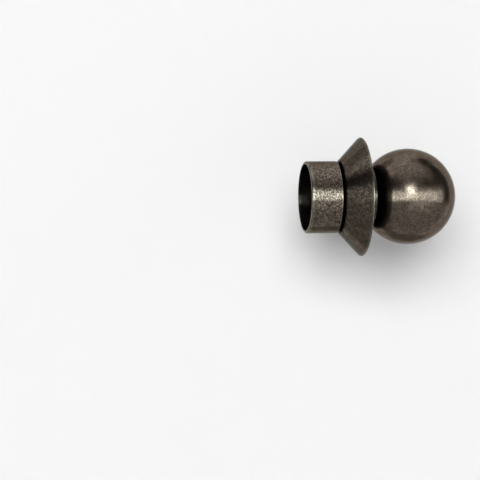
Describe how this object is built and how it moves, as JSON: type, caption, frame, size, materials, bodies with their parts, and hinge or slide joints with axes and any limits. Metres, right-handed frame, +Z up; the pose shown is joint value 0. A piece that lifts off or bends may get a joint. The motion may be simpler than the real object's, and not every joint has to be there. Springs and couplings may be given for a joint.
{
  "type": "curtain pole finial",
  "caption": "Round ball finial for a curtain pole: a collar slips over the pole's end and carries a flared cone, a short neck and a hollow ball.",
  "frame": {"origin": "centre of the socket's mouth, on the pole's axis", "axes": "+X along the pole towards the ball, +Z up, and the grub screw faces +Y, away from the room"},
  "size_m": [0.0826, 0.064, 0.064],
  "materials": {
    "collar_metal": "dark antiqued plating with a coarse mottle, worn lighter at the edges",
    "flare_metal": "dark antiqued plating with a fine grey mottle, worn lighter at the rim",
    "ball_metal": "dark antiqued plating, smooth and slightly brown",
    "plated_steel": "zinc plated",
    "black_steel": "blackened"
  },
  "bodies": {
    "root": {"collar": "collar_metal", "flare": "flare_metal", "ball": "ball_metal", "ball_insert": "plated_steel", "fixing_screw": "plated_steel", "grub_screw": "black_steel"}
  },
  "joints": []
}
